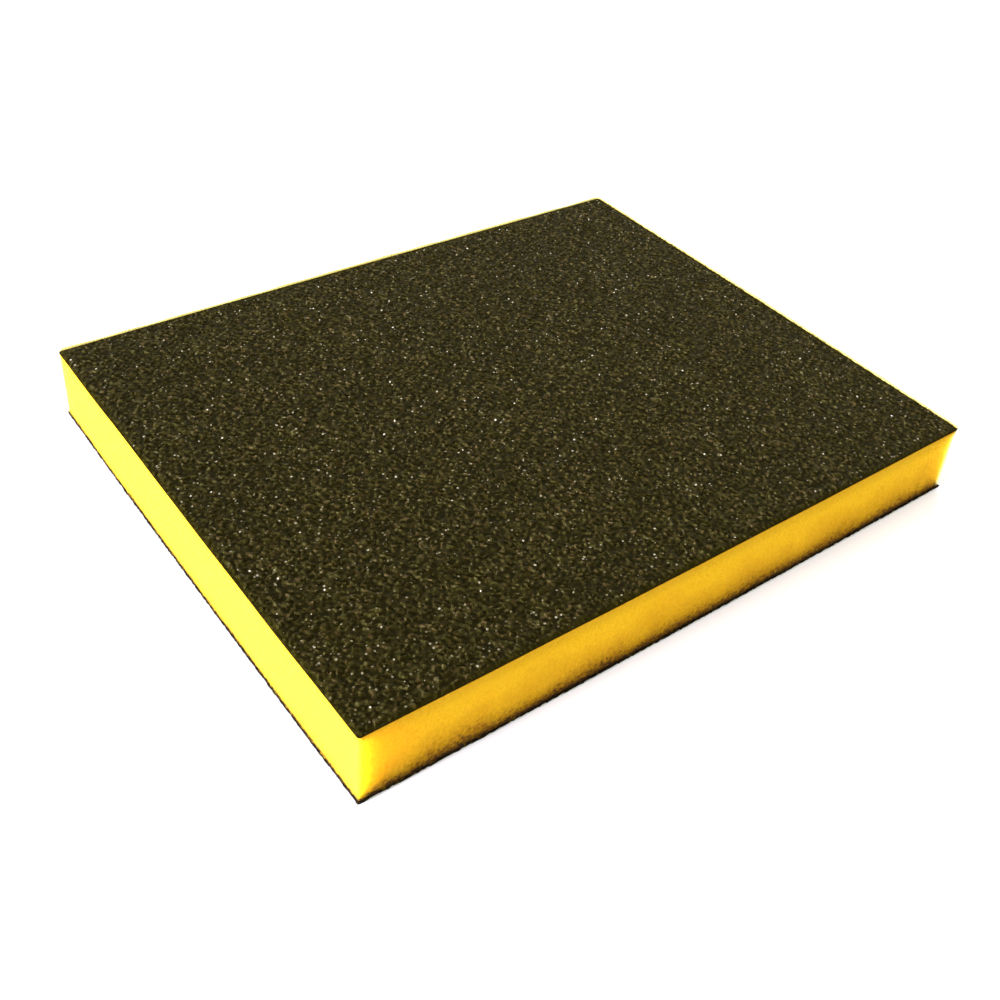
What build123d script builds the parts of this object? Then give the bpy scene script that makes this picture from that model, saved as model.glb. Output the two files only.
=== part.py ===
from build123d import *

import os

# Flexible double-sided sanding pad.
#
# A slab of soft open-cell foam carries an abrasive face above and below. Each
# abrasive face is built up in three bonded layers, from the foam outwards:
#
#   make coat       resin that soaks into the foam's skin and anchors the grain
#   abrasive grain  one dense layer of sharp mineral grain
#   size coat       thin resin film that locks the grain
#
# Frame: millimetres, +X along the pad's length, +Y across its width, +Z up.
# The origin is the centre of the lower face, which the pad rests on.

# Driving dimensions.
PAD_LENGTH = 120.0
PAD_WIDTH = 98.0
PAD_THICKNESS = 13.5

MAKE_COAT_THICKNESS = 0.15
GRAIN_THICKNESS = 0.30
SIZE_COAT_THICKNESS = 0.10

# The die leaves the foam's upright corners barely rounded.
FOAM_CORNER_RADIUS = 0.5

# Worked out from the driving dimensions.
COATED_FACE_THICKNESS = MAKE_COAT_THICKNESS + GRAIN_THICKNESS + SIZE_COAT_THICKNESS
FOAM_BOTTOM = COATED_FACE_THICKNESS
FOAM_TOP = PAD_THICKNESS - COATED_FACE_THICKNESS


def foam_core():
    """Soft slab between the two coated faces."""
    outline = RectangleRounded(PAD_LENGTH, PAD_WIDTH, FOAM_CORNER_RADIUS)
    return Pos(0, 0, FOAM_BOTTOM) * extrude(outline, amount=FOAM_TOP - FOAM_BOTTOM)


def coated_sheet(bottom, thickness):
    """One layer of an abrasive face: a thin sheet with crisp die-cut corners."""
    centre = bottom + thickness / 2
    return Pos(0, 0, centre) * Box(PAD_LENGTH, PAD_WIDTH, thickness)


def upper_face_layers():
    """Layers of the upper abrasive face, stacked upwards from the foam."""
    make_coat_top = FOAM_TOP + MAKE_COAT_THICKNESS
    grain_top = make_coat_top + GRAIN_THICKNESS
    return {
        "upper_make_coat": coated_sheet(FOAM_TOP, MAKE_COAT_THICKNESS),
        "upper_abrasive_grain": coated_sheet(make_coat_top, GRAIN_THICKNESS),
        "upper_size_coat": coated_sheet(grain_top, SIZE_COAT_THICKNESS),
    }


def lower_face_layers():
    """Layers of the lower abrasive face, the upper ones turned over."""
    middle = Plane.XY.offset(PAD_THICKNESS / 2)
    layers = {}
    for name, layer in upper_face_layers().items():
        layers[name.replace("upper", "lower")] = mirror(layer, about=middle)
    return layers


sanding_pad = {"foam_core": foam_core(), **upper_face_layers(), **lower_face_layers()}

os.makedirs("parts", exist_ok=True)
for node, shape in sanding_pad.items():
    export_step(shape, f"parts/{node}.step")
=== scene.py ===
import math

import bpy
import numpy as np
from mathutils import Matrix, Vector


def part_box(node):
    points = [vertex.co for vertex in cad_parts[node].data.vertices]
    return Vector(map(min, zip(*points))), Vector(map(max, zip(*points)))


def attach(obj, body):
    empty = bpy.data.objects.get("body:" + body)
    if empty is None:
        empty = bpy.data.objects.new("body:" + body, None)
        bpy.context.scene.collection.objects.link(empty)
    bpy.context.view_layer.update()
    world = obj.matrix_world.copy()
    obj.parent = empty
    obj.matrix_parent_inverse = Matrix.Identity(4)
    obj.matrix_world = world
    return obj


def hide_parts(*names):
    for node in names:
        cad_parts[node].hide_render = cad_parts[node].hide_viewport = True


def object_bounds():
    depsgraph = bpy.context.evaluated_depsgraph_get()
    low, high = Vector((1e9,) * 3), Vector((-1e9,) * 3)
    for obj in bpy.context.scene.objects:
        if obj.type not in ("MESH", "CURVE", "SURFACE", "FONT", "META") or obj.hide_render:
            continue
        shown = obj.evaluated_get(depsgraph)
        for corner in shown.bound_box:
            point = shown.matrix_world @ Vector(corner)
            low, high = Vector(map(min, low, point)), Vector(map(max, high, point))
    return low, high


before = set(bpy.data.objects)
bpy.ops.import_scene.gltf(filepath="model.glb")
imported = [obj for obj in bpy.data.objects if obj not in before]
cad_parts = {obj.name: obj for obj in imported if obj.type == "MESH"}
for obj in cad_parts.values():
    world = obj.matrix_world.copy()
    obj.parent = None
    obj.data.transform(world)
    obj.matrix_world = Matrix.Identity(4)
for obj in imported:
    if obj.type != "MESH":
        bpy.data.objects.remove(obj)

cad_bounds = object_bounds()

MM = 0.001
BODY = "root"
FOAM_SEED = 3
GRIT_SEED = 11
BOND_SEED = 21

# Abrasive faces: a triangular lattice of grain points with random heights.
GRAIN_PITCH = 0.46 * MM
GRAIN_JITTER = 0.30            # share of the pitch that a point may move each way
GRAIN_RELIEF = 0.31 * MM       # from the tallest tip down to the deepest gap
GRAIN_TIP_BIAS = 1.5           # over 1 leaves few tall tips over many low shoulders
SHEET_WAVINESS = 0.02 * MM
EDGE_DROOP = 0.26 * MM         # how far the die has pressed the upper sheet's edge down
EDGE_REACH = 0.9 * MM          # how far in from the edge the droop reaches
LEAST_SHEET = 0.05 * MM        # what the grit sheet keeps under its deepest gap
CUT_EDGE_JITTER = 0.05 * MM    # how ragged the die-cut edge of an upper coat is
COAT_INSET = 0.08 * MM         # how far the upper coats stop short of the foam's lip
BURR = 0.03 * MM               # how far the lower coats stand out past the foam
BURR_JITTER = 0.15 * MM        # how ragged the edge of a lower coat is
CREEP = 1.1 * MM               # how far resin has crept in from a sheet's border
COAT_CORNER_RADIUS = 0.3 * MM  # of the make coats
BOND_LEVELS = 3                # rings of points up a make coat's edge
SIDE_BOW = 0.23 * MM           # how far the cut sides bow out at their middles

# Foam core: rings of points up its sides, which flare into a lip round the upper coats.
FOAM_STEP = 0.25 * MM
FOAM_ARC_STEPS = 6
FOAM_CORNER_RADIUS = 0.5 * MM
FOAM_WAVINESS = 0.04 * MM
LIP = 0.57 * MM                # how far the foam swells past the upper coats
LIP_REACH = 2.0 * MM           # how far below the rim the flare begins
LIP_STEPS = 5
LIP_USUAL = 0.9                # share of the lip that usually stands, and how far that varies
LIP_VARIES = 0.1
LIP_RANGE = (0.6, 1.2)
LIP_LEAST = 0.02               # share of the lip along the -X and -Y sides
CELL_SIZE = 0.55 * MM
CELL_DEPTH = 0.09 * MM
CELL_REACH = (0.45, 0.85)      # radii of the cells, as shares of the cell size
CELL_ROUGHNESS = 0.25          # share of a cell's depth that varies from point to point

# Foam colours. The lip is painted pale, as light let through it, and paler in the pad's own shade; the
# glow at one corner is painted light and the colour under the rim is painted shade.
FOAM_LIGHT = (0.680, 0.366, 0.0072)
FOAM_DEEP = (0.580, 0.306, 0.0054)
FOAM_WARM = (0.635, 0.328, 0.0060)
LIP_LIT = (0.33, 0.30, 0.085)
LIP_SHADED = (0.74, 0.70, 0.22)
FOAM_PAINTED_GLOW = (0.62, 0.46, 0.10)
FOAM_UNDER_RIM_SHADE = (0.30, 0.15, 0.004)
STRAY_GRIT = (0.022, 0.011, 0.001)

# Where those colours lie on the foam.
UNDER_RIM_SHADE_DEPTH = 2.6 * MM     # how far below the rim painted shade darkens the foam
LIP_PALES = (0.05 * MM, 0.32 * MM)       # heights above the rim where the painted paling begins and is full
LIGHT_SINKS_IN = (0.1 * MM, 1.2 * MM)    # depths below the rim where scattering begins and is full
SIDE_SKIN = 0.3 * MM           # how deep inside a far side the colour of its lip still shows
GLOW_REACH = 1.6 * MM          # how far along the -Y side the painted glow spreads from the +X end
GLOW_SKIN = (0.2 * MM, 0.6 * MM)         # depths inside the -Y side where it is full and ends
SCATTER_SCALE = 14.0 * MM      # how far light wanders inside the foam

# How strongly each of those colours covers the foam's own, from 0 to 1.
UNDER_RIM_SHADE_SHARE = 0.42
LIP_SHARE = 0.9
GLOW_SHARE = 0.4
STRAY_GRIT_SHARE = 0.85

# The band at the foam's lower rim that resin has soaked, darkened as well by painted shade near the
# floor.
SOAK_AND_SHADE_REACH = 12.5 * MM         # the darkening by resin and painted shade has faded out at about 0.6 of this height
SOAK_AND_SHADE_WIDENS = 8.0 * MM         # how far from the -X side it takes to reach its full height
SOAK_AND_SHADE_LEAST = 0.30              # share of that height along the -X side

# Resin colours on the grit faces.
CREPT_RESIN = (0.014, 0.011, 0.0003)
SUNK_RESIN = (0.005, 0.004, 0.001)
CUT_RESIN = (0.004, 0.003, 0.001)

# How strongly those colours cover the grain's, and how bright its gaps, with their painted shade, and
# its tips are.
CREPT_SHARE = 0.9
SUNK_SHARE = 0.25
CUT_SHARE = 0.85
GAP_SHADE_TO_TIP = (0.65, 1.65)

# Sizes of the features in the materials' patterns.
FINE_CELL = 0.34 * MM
FOAM_FUZZ = 0.6 * MM
FOAM_PATCH = 6.0 * MM
SPECK_SIZE = 0.38 * MM
GRAIN_CELL = 0.52 * MM
GRIT_PATCH = 9.0 * MM
GRAIN_CHIP = 0.14 * MM
GLINT_CELL = 0.42 * MM
GLINT_SHARE = 0.065          # share of those cells that hold a painted glint
RESIN_MOTTLE = 0.6 * MM
PAPER_FIBRE = 20.0 * MM

# Depths of the relief that is too fine to model.
FINE_CELL_DEPTH = 0.06 * MM
CHIP_DEPTH = 0.04 * MM
MOTTLE_DEPTH = 0.08 * MM

# Camera, placed from the pad's nearest lower corner.
CAMERA_FROM_CORNER = Vector((-51.8, -86.0, 137.8)) * MM
CAMERA_AZIMUTH = 41.00         # degrees from +Y towards +X
CAMERA_DIP = 35.74             # degrees below level
CAMERA_ROLL = 5.94             # degrees about its line of sight, right-hand side up
CAMERA_LENS = 45.13            # mm
CAMERA_SENSOR = 36.0           # mm
CAMERA_SHIFT = (-0.036, -0.100)
CAMERA_NEAREST = 0.01          # metres to the nearest thing that it can show

FLOOR_REACH = 4.0              # metres from the pad's middle to each side of the floor

# Light: a pale surround and two low soft lamps, off the pad's -X end and off its far corner.
# A lamp's strength is the brightness that it adds to a white face turned to it.
SURROUND_STRENGTH = 1.15
SURROUND_COLOUR = (1.0, 0.97, 0.77)
LAMP_DISTANCE = 1.2
LAMP_WIDTH = 0.3
LAMP_TALL = 0.22
KEY_BEARING = -90.0            # degrees from +Y towards +X, where the lamp stands
KEY_HEIGHT = 5.5               # degrees above level
KEY_STRENGTH = 7.0
KEY_COLOUR = (0.95, 1.0, 1.5)
FILL_BEARING = 52.0
FILL_HEIGHT = 7.0
FILL_STRENGTH = 1.8
FILL_COLOUR = (0.9, 0.95, 1.5)


# ---------------------------------------------------------------- mesh tools

def mesh_piece(name, points, triangles, material, smooth):
    """A new object from points (n, 3) and triangles (m, 3)."""
    mesh = bpy.data.meshes.new(name)
    mesh.vertices.add(len(points))
    mesh.vertices.foreach_set("co", np.ascontiguousarray(points, dtype=np.float32).ravel())
    mesh.loops.add(triangles.size)
    mesh.loops.foreach_set("vertex_index", np.ascontiguousarray(triangles, dtype=np.int32).ravel())
    mesh.polygons.add(len(triangles))
    mesh.polygons.foreach_set("loop_start", np.arange(0, triangles.size, 3, dtype=np.int32))
    mesh.update(calc_edges=True)
    if not smooth:
        mesh.shade_flat()
    mesh.materials.append(material)
    piece = bpy.data.objects.new(name, mesh)
    bpy.context.scene.collection.objects.link(piece)
    return piece


def bow_out(points, middle, half):
    """Push points outwards, most over the middle of each side and not at all at the corners."""
    share = np.clip((points[..., :2] - middle[:2]) / half[:2], -1, 1)
    bowed = points.copy()
    bowed[..., :2] += SIDE_BOW * share * (1 - share[..., ::-1] ** 2)
    return bowed


def ring_strip(lower, upper):
    """Triangles between two closed rings of point numbers, outward when they run anticlockwise."""
    lower_next = np.roll(lower, -1)
    upper_next = np.roll(upper, -1)
    first = np.stack([lower, lower_next, upper_next], axis=1)
    second = np.stack([lower, upper_next, upper], axis=1)
    return np.concatenate([first, second])


def fan(ring, centre):
    """Triangles from a closed ring of point numbers to one centre point, facing up."""
    return np.stack([ring, np.roll(ring, -1), np.full_like(ring, centre)], axis=1)


def capped_rings(name, rings, height, box, half, material, smooth):
    """A closed piece from stacked rings of points round a box's middle, with flat ends.

    They bow out like the pad's own sides, and half is half the size of their outline."""
    low, high = box
    middle = (high + low) / 2
    levels, count = height.shape
    sides = np.concatenate([rings + middle[:2], height[..., None]], axis=-1).reshape(-1, 3)
    sides = bow_out(sides, middle, half)
    ends = np.array([[middle[0], middle[1], low[2]], [middle[0], middle[1], high[2]]])
    numbers = np.arange(levels * count).reshape(levels, count)
    strips = [ring_strip(numbers[level], numbers[level + 1]) for level in range(levels - 1)]
    strips.append(fan(numbers[0], levels * count)[:, ::-1])
    strips.append(fan(numbers[-1], levels * count + 1))
    points = np.concatenate([sides, ends])
    return mesh_piece(name, points, np.concatenate(strips), material, smooth)


def declare(piece, slot, *nodes):
    """Say which body a piece rides on and hide the CAD nodes it stands for. The slot is not used."""
    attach(piece, BODY)
    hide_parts(*nodes)


# ------------------------------------------------------------ material tools

def add_node(tree, kind, inputs=None, **settings):
    """A shader node with its settings, and its inputs linked or set."""
    made = tree.nodes.new(kind)
    for key, value in settings.items():
        setattr(made, key, value)
    for key, value in (inputs or {}).items():
        if isinstance(value, bpy.types.NodeSocket):
            tree.links.new(value, made.inputs[key])
        else:
            made.inputs[key].default_value = value
    return made


def colour_ramp(tree, factor, stops):
    """A colour ramp through (place, (red, green, blue)) stops."""
    made = add_node(tree, "ShaderNodeValToRGB", {"Fac": factor})
    elements = made.color_ramp.elements
    while len(elements) < len(stops):
        elements.new(0.5)
    for element, (place, colour) in zip(elements, stops):
        element.position = place
        element.color = (*colour, 1)
    return made.outputs["Color"]


def mixed(tree, factor, a, b, blend="MIX"):
    """Two colours mixed by a factor."""
    made = add_node(tree, "ShaderNodeMix", data_type="RGBA", blend_type=blend)
    for place, value in ((0, factor), (6, a), (7, b)):
        if isinstance(value, bpy.types.NodeSocket):
            tree.links.new(value, made.inputs[place])
        elif place == 0:
            made.inputs[place].default_value = value
        else:
            made.inputs[place].default_value = (*value, 1)
    return made.outputs[2]


def maths(tree, operation, a, b=0.0):
    """One arithmetic step on values or sockets."""
    made = add_node(tree, "ShaderNodeMath", operation=operation)
    for place, value in ((0, a), (1, b)):
        if isinstance(value, bpy.types.NodeSocket):
            tree.links.new(value, made.inputs[place])
        else:
            made.inputs[place].default_value = value
    return made.outputs[0]


def ranged(tree, value, low, high, to_low=0.0, to_high=1.0):
    """A value mapped from one range to another, and held at its ends."""
    made = add_node(
        tree,
        "ShaderNodeMapRange",
        {"Value": value, "From Min": low, "From Max": high, "To Min": to_low, "To Max": to_high},
    )
    return made.outputs["Result"]


def spread(tree, value):
    """One value as the three channels of a grey."""
    made = add_node(tree, "ShaderNodeCombineColor", {"Red": value, "Green": value, "Blue": value})
    return made.outputs["Color"]


def place_on_object(tree):
    """Where each point lies on the pad, in metres."""
    return add_node(tree, "ShaderNodeTexCoord").outputs["Object"]


def split_xyz(tree, vector):
    """The X, Y and Z parts of a vector, by name."""
    return add_node(tree, "ShaderNodeSeparateXYZ", {"Vector": vector}).outputs


def split_colour(tree, colour):
    """The red, green and blue parts of a colour, by name."""
    return add_node(tree, "ShaderNodeSeparateColor", {"Color": colour}).outputs


def noise(tree, place, size, detail):
    """Soft noise between 0 and 1 whose largest features have about the given size."""
    made = add_node(
        tree, "ShaderNodeTexNoise", {"Vector": place, "Scale": 1 / size, "Detail": detail}
    )
    return made.outputs["Fac"]


def cell_pattern(tree, place, size):
    """Scattered cells of the given size: the distance from each one's middle, and its colour."""
    return add_node(tree, "ShaderNodeTexVoronoi", {"Vector": place, "Scale": 1 / size}).outputs


def add_bump(tree, shader, height, depth, strength):
    """Relief too fine to model."""
    made = add_node(
        tree, "ShaderNodeBump", {"Height": height, "Distance": depth, "Strength": strength}
    )
    tree.links.new(made.outputs["Normal"], shader.inputs["Normal"])


def new_material(name):
    """A material with its node tree and its shader."""
    material = bpy.data.materials.new(name)
    material.use_nodes = True
    return material, material.node_tree, material.node_tree.nodes["Principled BSDF"]


# ----------------------------------------------------------------- materials

def soak_and_shade_share(tree, place, foam_low, patches):
    """How far up a point lies in the band of resin stain and painted shade: 0 at the lower rim, 1 well
    clear of it.
    """
    along = split_xyz(tree, place)
    # The band is narrow along the -X side, and wide and uneven elsewhere.
    wide = ranged(tree, along["X"], foam_low[0], foam_low[0] + SOAK_AND_SHADE_WIDENS, SOAK_AND_SHADE_LEAST, 1.0)
    uneven = ranged(tree, patches, 0.3, 0.7, 0.75, 1.3)
    reach = maths(tree, "MULTIPLY", maths(tree, "MULTIPLY", wide, uneven), SOAK_AND_SHADE_REACH)
    above_rim = maths(tree, "SUBTRACT", along["Z"], foam_low[2])
    blotch = ranged(tree, noise(tree, place, FOAM_FUZZ, detail=4.0), 0.25, 0.75, -0.09, 0.09)
    return maths(tree, "ADD", maths(tree, "DIVIDE", above_rim, reach), blotch)


def soaked_and_shaded_foam(tree, place, golden, share):
    """Foam stained brown by resin and darkened by painted shade near its lower rim, with stray grit
    that thins out upwards.
    """
    stain_and_shade = colour_ramp(
        tree,
        share,
        [
            (0.0, (0.095, 0.060, 0.03)),
            (0.08, (0.28, 0.21, 0.12)),
            (0.16, (0.51, 0.46, 0.35)),
            (0.30, (0.78, 0.74, 0.65)),
            (0.45, (0.89, 0.87, 0.82)),
            (0.62, (1.0, 1.0, 1.0)),
        ],
    )
    colour = mixed(tree, 1.0, golden, stain_and_shade, blend="MULTIPLY")
    grit = noise(tree, place, SPECK_SIZE, detail=2.0)
    speck = maths(tree, "SUBTRACT", grit, maths(tree, "MULTIPLY", share, 1.1))
    cover = ranged(tree, speck, 0.46, 0.56, 0.0, STRAY_GRIT_SHARE)
    return mixed(tree, cover, colour, STRAY_GRIT)


def painted_pale_lip(tree, along, below_rim, foam_high, colour):
    """The thin lip above the rim is painted pale, as light let through it."""
    pales_from, pales_to = LIP_PALES
    proud = ranged(tree, below_rim, -pales_from, -pales_to, 0.0, LIP_SHARE)
    end_side = ranged(tree, along["X"], foam_high[0] - SIDE_SKIN, foam_high[0])
    back_side = ranged(tree, along["Y"], foam_high[1] - SIDE_SKIN, foam_high[1])
    far_side = maths(tree, "MAXIMUM", end_side, back_side)
    lip = mixed(tree, end_side, LIP_SHADED, LIP_LIT)
    return mixed(tree, maths(tree, "MULTIPLY", proud, far_side), colour, lip)


def painted_corner_glow(tree, along, foam_low, foam_high, colour):
    """A painted glow at the upright corner between the +X and -Y sides, as if lit through from behind.
    """
    full, ended = GLOW_SKIN
    near_end = ranged(tree, along["X"], foam_high[0] - GLOW_REACH, foam_high[0], 0.0, GLOW_SHARE)
    near_front = ranged(tree, along["Y"], foam_low[1] + ended, foam_low[1] + full)
    return mixed(tree, maths(tree, "MULTIPLY", near_end, near_front), colour, FOAM_PAINTED_GLOW)


def foam_material(foam_low, foam_high):
    """Golden open-cell foam, stained brown by resin and darkened by painted shade at its lower rim,
    with painted shade under its upper rim, a painted pale lip and a painted glow at one corner.
    """
    material, tree, shader = new_material("foam")
    place = place_on_object(tree)
    along = split_xyz(tree, place)
    cells = cell_pattern(tree, place, FINE_CELL)
    patches = noise(tree, place, FOAM_PATCH, detail=2.0)
    strut = ranged(tree, cells["Distance"], 0.15, 0.75)
    golden = mixed(tree, strut, FOAM_LIGHT, FOAM_DEEP)
    golden = mixed(tree, ranged(tree, patches, 0.35, 0.7, 0.0, 0.6), golden, FOAM_WARM)
    # Resin stain and painted shade darken the foam towards its lower rim.
    colour = soaked_and_shaded_foam(tree, place, golden, soak_and_shade_share(tree, place, foam_low, patches))

    below_rim = maths(tree, "SUBTRACT", foam_high[2], along["Z"])
    # Painted shade darkens the foam just under its upper rim.
    under_rim_shade = ranged(tree, below_rim, 0.0, UNDER_RIM_SHADE_DEPTH, UNDER_RIM_SHADE_SHARE, 0.0)
    colour = mixed(tree, under_rim_shade, colour, FOAM_UNDER_RIM_SHADE)
    # Painted light: the lip is painted pale, as light let through it.
    colour = painted_pale_lip(tree, along, below_rim, foam_high, colour)
    # Painted light: a glow painted at the upright +X -Y corner.
    colour = painted_corner_glow(tree, along, foam_low, foam_high, colour)
    tree.links.new(colour, shader.inputs["Base Color"])

    shader.inputs["Roughness"].default_value = 0.9
    shader.inputs["Specular IOR Level"].default_value = 0.08
    # Light would pass straight through the thin lip, so the rim scatters at its surface only.
    scattering = ranged(tree, below_rim, *LIGHT_SINKS_IN)
    tree.links.new(scattering, shader.inputs["Subsurface Weight"])
    shader.inputs["Subsurface Radius"].default_value = (1.0, 0.9, 0.8)
    shader.inputs["Subsurface Scale"].default_value = SCATTER_SCALE
    add_bump(tree, shader, cells["Distance"], FINE_CELL_DEPTH, strength=0.5)
    return material


def grain_tones(tree, tone):
    """Olive grains, and brown ones among them."""
    olive = colour_ramp(
        tree,
        tone["Red"],
        [
            (0.0, (0.0065, 0.0054, 0.0010)),
            (0.5, (0.0130, 0.0108, 0.0019)),
            (0.85, (0.0255, 0.0210, 0.0042)),
            (1.0, (0.0560, 0.0460, 0.0130)),
        ],
    )
    brown = colour_ramp(
        tree,
        tone["Red"],
        [
            (0.0, (0.0085, 0.0057, 0.0010)),
            (0.7, (0.0200, 0.0136, 0.0026)),
            (1.0, (0.0520, 0.0345, 0.0120)),
        ],
    )
    return mixed(tree, ranged(tree, tone["Blue"], 0.55, 0.85), olive, brown)


def painted_glints(tree, place, colour):
    """A few small painted glints scattered over the darker grain."""
    glint_cells = cell_pattern(tree, place, GLINT_CELL)
    luck = split_colour(tree, glint_cells["Color"])
    pale = colour_ramp(
        tree,
        luck["Green"],
        [
            (0.0, (0.055, 0.045, 0.018)),
            (0.6, (0.120, 0.100, 0.055)),
            (0.9, (0.260, 0.220, 0.140)),
            (1.0, (0.450, 0.400, 0.290)),
        ],
    )
    chosen = maths(tree, "GREATER_THAN", luck["Red"], 1 - GLINT_SHARE)
    inside = ranged(tree, glint_cells["Distance"], 0.36, 0.50, 1.0, 0.0)
    return mixed(tree, maths(tree, "MULTIPLY", chosen, inside), colour, pale)


def grit_material(middle, half):
    """Dark mineral grain in a tinted resin film, with a few painted glints and dark cut edges."""
    material, tree, shader = new_material("grit")
    place = place_on_object(tree)
    along = split_xyz(tree, place)
    from_middle = [
        maths(tree, "ABSOLUTE", maths(tree, "SUBTRACT", along[axis], middle[axis]))
        for axis in range(3)
    ]
    tone = split_colour(tree, cell_pattern(tree, place, GRAIN_CELL)["Color"])
    colour = grain_tones(tree, tone)

    # Painted shade darkens the gaps between the grains, where resin also pools, and the tips are
    # lighter, worn clean of resin.
    tip_and_gap_shade = ranged(tree, from_middle[2], half[2] - GRAIN_RELIEF, half[2], *GAP_SHADE_TO_TIP)
    colour = mixed(tree, 1.0, colour, spread(tree, tip_and_gap_shade), blend="MULTIPLY")
    patches = noise(tree, place, GRIT_PATCH, detail=2.0)
    colour = mixed(tree, ranged(tree, patches, 0.3, 0.7, 0.0, SUNK_SHARE), colour, SUNK_RESIN)
    # Painted glints: a few small pale spots on the grain.
    colour = painted_glints(tree, place, colour)

    # Resin has crept in from the sheet's border and lies there dull and olive.
    crept = maths(
        tree,
        "MAXIMUM",
        ranged(tree, from_middle[0], half[0] - CREEP, half[0], 0.0, CREPT_SHARE),
        ranged(tree, from_middle[1], half[1] - CREEP, half[1], 0.0, CREPT_SHARE),
    )
    colour = mixed(tree, crept, colour, CREPT_RESIN)

    # Resin has run down the cut edges, which face level.
    facing = add_node(tree, "ShaderNodeNewGeometry").outputs["True Normal"]
    upright = maths(tree, "ABSOLUTE", split_xyz(tree, facing)["Z"])
    colour = mixed(tree, ranged(tree, upright, 0.05, 0.25, CUT_SHARE, 0.0), colour, CUT_RESIN)
    tree.links.new(colour, shader.inputs["Base Color"])

    gloss = ranged(tree, tone["Green"], 0.0, 1.0, 0.32, 0.65)
    tree.links.new(maths(tree, "MAXIMUM", gloss, crept), shader.inputs["Roughness"])
    shader.inputs["Specular IOR Level"].default_value = 0.07
    shader.inputs["Specular Tint"].default_value = (1.0, 0.86, 0.22, 1)
    chips = noise(tree, place, GRAIN_CHIP, detail=2.0)
    add_bump(tree, shader, chips, CHIP_DEPTH, strength=0.6)
    return material


def bond_material():
    """Dark brown resin, mottled where it has sunk into the foam."""
    material, tree, shader = new_material("bond_resin")
    mottle = noise(tree, place_on_object(tree), RESIN_MOTTLE, detail=3.0)
    colour = colour_ramp(
        tree,
        mottle,
        [(0.35, (0.004, 0.003, 0.001)), (0.55, (0.010, 0.006, 0.001)), (0.72, (0.05, 0.026, 0.002))],
    )
    tree.links.new(colour, shader.inputs["Base Color"])
    tree.links.new(ranged(tree, mottle, 0.3, 0.7, 0.7, 0.9), shader.inputs["Roughness"])
    shader.inputs["Specular IOR Level"].default_value = 0.05
    add_bump(tree, shader, mottle, MOTTLE_DEPTH, strength=0.7)
    return material


def floor_material():
    """Plain pale paper."""
    material, tree, shader = new_material("pale_floor")
    fibre = ranged(tree, noise(tree, place_on_object(tree), PAPER_FIBRE, detail=4.0), 0.3, 0.7)
    colour = mixed(tree, fibre, (0.94, 0.94, 0.94), (0.96, 0.96, 0.955))
    tree.links.new(colour, shader.inputs["Base Color"])
    shader.inputs["Roughness"].default_value = 0.9
    shader.inputs["Specular IOR Level"].default_value = 0.1
    return material


# ------------------------------------------------------------ abrasive faces

def lattice(low, high, pitch, jitter, rng):
    """Rows and columns of points over a rectangle, staggered and jittered inside its border."""
    columns = round((high[0] - low[0]) / pitch) + 1
    rows = round((high[1] - low[1]) / (pitch * math.sqrt(3) / 2)) + 1
    step = np.array([(high[0] - low[0]) / (columns - 1), (high[1] - low[1]) / (rows - 1)])
    x, y = np.meshgrid(np.linspace(low[0], high[0], columns), np.linspace(low[1], high[1], rows))
    x[1::2, 1:-1] -= step[0] / 2
    inner = (slice(1, -1), slice(1, -1))
    x[inner] += rng.uniform(-jitter, jitter, x[inner].shape) * step[0]
    y[inner] += rng.uniform(-jitter, jitter, y[inner].shape) * step[1]
    return x, y


def lattice_triangles(numbers):
    """Triangles of a staggered lattice, whose odd rows stand half a step to the left."""
    a, b = numbers[:-1, :-1], numbers[:-1, 1:]
    c, d = numbers[1:, :-1], numbers[1:, 1:]
    even = np.stack([a, b, d], axis=-1), np.stack([a, d, c], axis=-1)
    odd = np.stack([a, b, c], axis=-1), np.stack([b, d, c], axis=-1)
    even_rows = [part[0::2].reshape(-1, 3) for part in even]
    odd_rows = [part[1::2].reshape(-1, 3) for part in odd]
    return np.concatenate(even_rows + odd_rows)


def border(numbers):
    """The lattice's outer points in one anticlockwise ring."""
    return np.concatenate(
        [numbers[0, :-1], numbers[:-1, -1], numbers[-1, :0:-1], numbers[:0:-1, 0]]
    )


def ripples(x, y, rng, count=7, shortest=9 * MM, longest=60 * MM):
    """Soft unevenness, mostly between -1 and 1, as a sum of waves of different lengths."""
    total = np.zeros_like(x)
    for _ in range(count):
        bearing, phase = rng.uniform(0, 2 * math.pi, 2)
        wave = 2 * math.pi / rng.uniform(shortest, longest)
        total += np.sin(wave * (x * math.cos(bearing) + y * math.sin(bearing)) + phase)
    return total / math.sqrt(count)


def way_out(points, low, high):
    """Which way the border faces at each of its points, as -1, 0 or 1 along X and along Y."""
    return np.isclose(points[:, :2], high[:2]).astype(float) - np.isclose(points[:, :2], low[:2])


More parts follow.
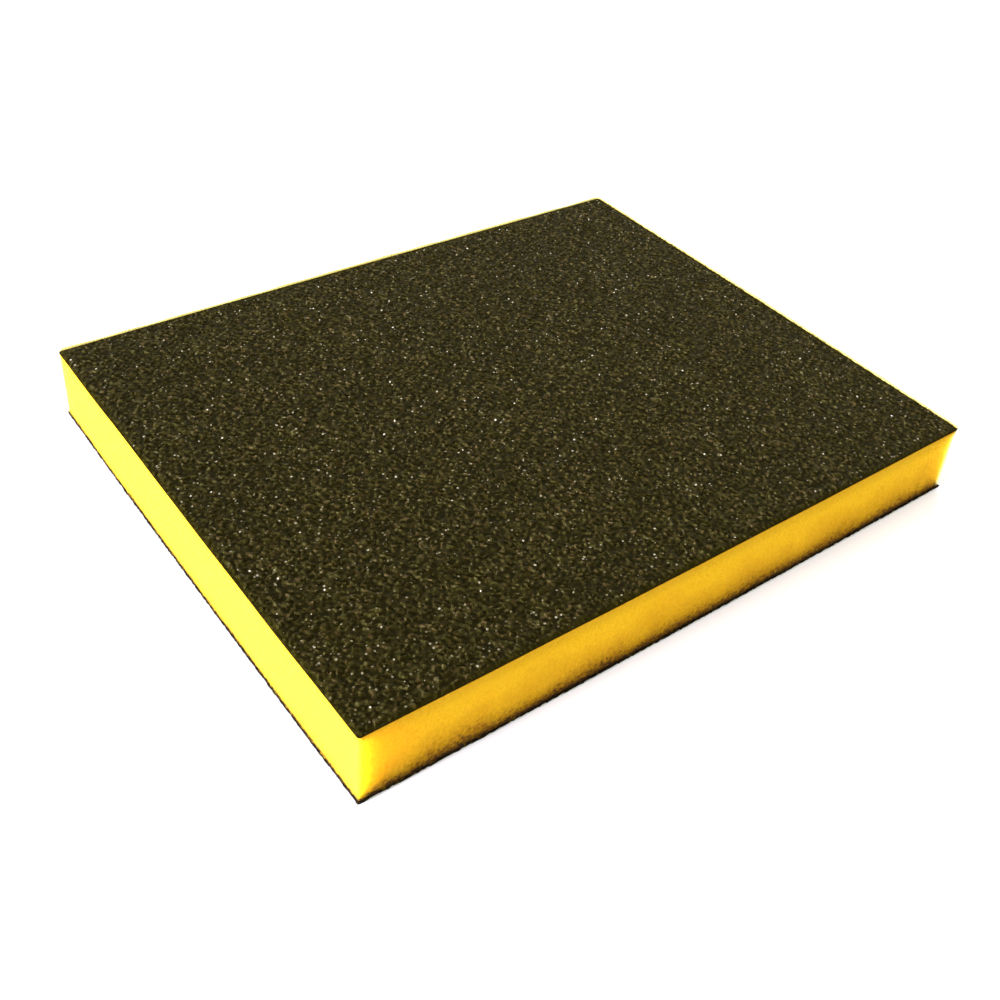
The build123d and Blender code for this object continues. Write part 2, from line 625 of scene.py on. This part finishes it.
def abrasive_face(name, grain_node, film_node, facing, edge, material, seed):
    """A closed sheet: a field of grain facets, the ragged cut edge and a hidden back.

    The edge is how far the sheet stands out past its node, its jitter and its droop."""
    rng = np.random.default_rng(seed)
    grain_low, grain_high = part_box(grain_node)
    film_low, film_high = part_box(film_node)
    back = grain_low[2] if facing > 0 else grain_high[2]
    crest = film_high[2] if facing > 0 else film_low[2]
    thickness = abs(crest - back)
    overhang, raggedness, droop = edge
    low = np.array(grain_low) - overhang
    high = np.array(grain_high) + overhang

    x, y = lattice(low, high, GRAIN_PITCH, GRAIN_JITTER, rng)
    depth = GRAIN_RELIEF * (1 - rng.random(x.shape) ** GRAIN_TIP_BIAS)
    depth += SHEET_WAVINESS * (1 + ripples(x, y, rng) / 3)
    inset = np.minimum.reduce([x - low[0], high[0] - x, y - low[1], high[1] - y])
    depth += droop * np.clip(1 - inset / EDGE_REACH, 0, 1) ** 2
    depth = np.minimum(depth, thickness - LEAST_SHEET)
    face = np.stack([x, y, crest - facing * depth], axis=-1).reshape(-1, 3)
    numbers = np.arange(x.size).reshape(x.shape)
    ring = border(numbers)
    rim = face[ring]
    outward = way_out(rim, low, high) * raggedness

    walls = []
    for wall_height in ((rim[:, 2] + back) / 2, back):
        wall = rim.copy()
        wall[:, :2] += outward * rng.uniform(-1, 1, (len(ring), 1))
        wall[:, 2] = wall_height
        walls.append(wall)
    centre = np.array([[(low[0] + high[0]) / 2, (low[1] + high[1]) / 2, back]])
    points = np.concatenate([face, *walls, centre])
    points = bow_out(points, centre[0], (high - low) / 2)

    mid_ring = np.arange(len(ring)) + len(face)
    back_ring = mid_ring + len(ring)
    triangles = np.concatenate(
        [
            lattice_triangles(numbers),
            ring_strip(mid_ring, ring),
            ring_strip(back_ring, mid_ring),
            fan(back_ring, len(points) - 1)[:, ::-1],
        ]
    )
    if facing < 0:
        triangles = triangles[:, ::-1]
    return mesh_piece(name, points, triangles, material, smooth=False)


# ------------------------------------------------------------------ foam core

def rounded_rings(half_length, half_width, radius, side_steps):
    """Rings of points round rectangles with rounded corners, and the way out at each point.

    The sizes are arrays with one entry for each ring, and all rings have the same number of points."""
    points = []
    outward = []
    corners = ((1, -1), (1, 1), (-1, 1), (-1, -1))
    straight_ends = np.stack([half_length - radius, half_width - radius], axis=-1)
    for turn, (side_x, side_y) in enumerate(corners):
        angles = np.radians(np.linspace(90 * turn - 90, 90 * turn, FOAM_ARC_STEPS + 1))
        way = np.stack([np.cos(angles), np.sin(angles)], axis=-1)
        centre = straight_ends * (side_x, side_y)
        arc = centre[:, None, :] + radius[:, None, None] * way
        points.append(arc)
        outward.append(np.broadcast_to(way, arc.shape))

        arrival = straight_ends * corners[(turn + 1) % 4] + radius[:, None] * way[-1]
        share = np.linspace(0, 1, side_steps[turn] + 1)[1:-1, None]
        straight = arc[:, -1:, :] * (1 - share) + arrival[:, None, :] * share
        points.append(straight)
        outward.append(np.broadcast_to(way[-1], straight.shape))
    return np.concatenate(points, axis=1), np.concatenate(outward, axis=1)


def open_cells(along, height, girth, rng):
    """How far each point of the cut side lies inside an open foam cell, from 0 on a strut to 1."""
    columns = round(girth / CELL_SIZE)
    rows = math.ceil(np.ptp(height) / CELL_SIZE) + 2
    seed_x, seed_y = rng.random((2, rows, columns))
    reach = rng.uniform(*CELL_REACH, (rows, columns))
    u = along / girth * columns
    v = (height - height.min()) / CELL_SIZE + 0.5
    column, row = np.floor(u).astype(int), np.floor(v).astype(int)
    hollow = np.zeros_like(u)
    for step_x in (-1, 0, 1):
        for step_y in (-1, 0, 1):
            near_column, near_row = column + step_x, np.clip(row + step_y, 0, rows - 1)
            wrapped = near_column % columns
            gap_x = u - near_column - seed_x[near_row, wrapped]
            gap_y = v - near_row - seed_y[near_row, wrapped]
            nearness = 1 - (gap_x**2 + gap_y**2) / reach[near_row, wrapped] ** 2
            hollow = np.maximum(hollow, nearness)
    return np.sqrt(hollow)


def foam_profile(low, high):
    """Heights up the foam's side, and how far a full lip rises and stands out at each of them."""
    side = np.linspace(low, high, round((high - low) / FOAM_STEP) + 1)
    flare = LIP * (1 + np.cos(math.pi * np.clip((high - side) / LIP_REACH, 0, 1))) / 2
    turn = np.linspace(0, math.pi / 2, LIP_STEPS + 1)[1:]
    height = np.concatenate([side, np.full(LIP_STEPS + 1, high)])
    rises = np.concatenate([np.zeros_like(side), LIP * np.sin(turn), [0]])
    stands_out = np.concatenate([flare, LIP * np.cos(turn), [0]])
    return height, rises, stands_out


def foam_slab(material, seed):
    """The foam core: cut sides with open cells, and a lip that swells out past the upper coats."""
    rng = np.random.default_rng(seed)
    low, high = (np.array(corner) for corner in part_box("foam_core"))
    half = (high - low) / 2
    z, rises, stands_out = foam_profile(low[2], high[2])
    even = np.ones(len(z))
    side_steps = [round(2 * half[axis] / FOAM_STEP) for axis in (1, 0, 1, 0)]
    rings, way = rounded_rings(
        half[0] * even, half[1] * even, FOAM_CORNER_RADIUS * even, side_steps
    )

    step = np.linalg.norm(np.roll(rings[0], -1, axis=0) - rings[0], axis=1)
    girth = step.sum()
    along = np.broadcast_to(np.cumsum(step) - step, rings.shape[:2])
    height = np.broadcast_to(z[:, None], rings.shape[:2])
    pits = open_cells(along, height, girth, rng)
    pits *= rng.uniform(1 - CELL_ROUGHNESS, 1, height.shape)
    pits[-LIP_STEPS - 1:] = 0
    swell = FOAM_WAVINESS * ripples(along, height, rng, shortest=12 * MM, longest=60 * MM)
    wander = ripples(along[0], np.zeros(len(step)), rng, shortest=2 * MM, longest=16 * MM)
    lip_share = np.clip(LIP_USUAL + LIP_VARIES * wander, *LIP_RANGE)
    lip_share *= np.clip(way.sum(axis=-1)[0], LIP_LEAST, 1)
    rings = rings + way * (swell + stands_out[:, None] * lip_share - CELL_DEPTH * pits)[..., None]
    height = height + rises[:, None] * lip_share
    return capped_rings("foam_slab", rings, height, (low, high), half, material, smooth=True)


# --------------------------------------------------------------- resin bonds

def resin_bond(name, node, edge, material, seed):
    """A make coat: a thin closed sheet whose cut edge is a little ragged."""
    rng = np.random.default_rng(seed)
    overhang, raggedness, _ = edge
    low, high = (np.array(corner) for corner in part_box(node))
    half = (high - low) / 2 + overhang
    z = np.linspace(low[2], high[2], BOND_LEVELS)
    even = np.ones(BOND_LEVELS)
    side_steps = [round(2 * half[axis] / GRAIN_PITCH) for axis in (1, 0, 1, 0)]
    rings, way = rounded_rings(
        half[0] * even, half[1] * even, COAT_CORNER_RADIUS * even, side_steps
    )
    rings = rings + way * rng.uniform(-1, 1, (*rings.shape[:2], 1)) * raggedness
    height = np.broadcast_to(z[:, None], rings.shape[:2])
    return capped_rings(name, rings, height, (low, high), half, material, smooth=False)


# --------------------------------------------------------------------- stage

def facing_out(bearing, height):
    """Unit vector at a bearing from +Y towards +X and a height above level, in degrees."""
    across, up = math.radians(bearing), math.radians(height)
    return Vector((math.sin(across) * math.cos(up), math.cos(across) * math.cos(up), math.sin(up)))


def add_floor():
    """A pale floor under the pad, far wider than any view of it."""
    z = cad_bounds[0][2]
    ways = ((-1, -1), (1, -1), (1, 1), (-1, 1))
    corners = np.array([(x * FLOOR_REACH, y * FLOOR_REACH, z) for x, y in ways])
    triangles = np.array([(0, 1, 2), (0, 2, 3)])
    mesh_piece("floor", corners, triangles, floor_material(), smooth=False)


def add_lamp(name, bearing, height, strength, colour, glints):
    """A soft rectangular lamp that faces the pad. Only one with glints shows in glossy grain."""
    lamp = bpy.data.lights.new(name, "AREA")
    lamp.shape = "RECTANGLE"
    lamp.size = LAMP_WIDTH
    lamp.size_y = LAMP_TALL
    lamp.energy = strength * math.pi**2 * LAMP_DISTANCE**2
    lamp.color = colour
    holder = bpy.data.objects.new(name, lamp)
    towards = facing_out(bearing, height)
    holder.location = towards * LAMP_DISTANCE
    holder.rotation_euler = towards.to_track_quat("Z", "Y").to_euler()
    holder.visible_glossy = glints
    bpy.context.scene.collection.objects.link(holder)


def add_surround():
    """An even, slightly warm surround."""
    world = bpy.data.worlds.new("surround")
    bpy.context.scene.world = world
    world.use_nodes = True
    background = world.node_tree.nodes["Background"]
    background.inputs["Color"].default_value = (*SURROUND_COLOUR, 1)
    background.inputs["Strength"].default_value = SURROUND_STRENGTH


def add_camera():
    """The camera, which looks down on the pad with a slight roll."""
    lens = bpy.data.cameras.new("camera")
    lens.sensor_width = CAMERA_SENSOR
    lens.lens = CAMERA_LENS
    lens.shift_x, lens.shift_y = CAMERA_SHIFT
    lens.clip_start = CAMERA_NEAREST
    camera = bpy.data.objects.new("camera", lens)
    corner = Vector(cad_bounds[0])
    forward = facing_out(CAMERA_AZIMUTH, -CAMERA_DIP)
    level = facing_out(CAMERA_AZIMUTH + 90, 0)
    upright = level.cross(forward)
    roll = math.radians(CAMERA_ROLL)
    right = level * math.cos(roll) + upright * math.sin(roll)
    up = right.cross(forward)
    turn = Matrix((right, up, -forward)).transposed()
    camera.matrix_world = Matrix.Translation(corner + CAMERA_FROM_CORNER) @ turn.to_4x4()
    bpy.context.scene.collection.objects.link(camera)
    bpy.context.scene.camera = camera


# ------------------------------------------------------------------- the pad

pad_low, pad_high = (np.array(corner) for corner in cad_bounds)
grit = grit_material((pad_low + pad_high) / 2, (pad_high - pad_low) / 2)
bond = bond_material()
foam_low, foam_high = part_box("foam_core")
foam = foam_slab(foam_material(foam_low, foam_high), FOAM_SEED)
declare(foam, "foam", "foam_core")

upper_edge = (-COAT_INSET, CUT_EDGE_JITTER, EDGE_DROOP)
lower_edge = (BURR, BURR_JITTER, 0.0)
coated_faces = (("upper", 1, upper_edge), ("lower", -1, lower_edge))
for number, (side, facing, edge) in enumerate(coated_faces):
    grain_node = f"{side}_abrasive_grain"
    film_node = f"{side}_size_coat"
    bond_node = f"{side}_make_coat"
    seed = GRIT_SEED + number
    face = abrasive_face(f"{side}_grit", grain_node, film_node, facing, edge, grit, seed)
    declare(face, "abrasive_grain", grain_node, film_node)
    coat = resin_bond(f"{side}_bond", bond_node, edge, bond, BOND_SEED + number)
    declare(coat, "make_coat_resin", bond_node)

add_floor()
add_surround()
add_lamp("key", KEY_BEARING, KEY_HEIGHT, KEY_STRENGTH, KEY_COLOUR, glints=True)
add_lamp("fill", FILL_BEARING, FILL_HEIGHT, FILL_STRENGTH, FILL_COLOUR, glints=False)
add_camera()
bpy.context.scene.view_settings.view_transform = "Standard"
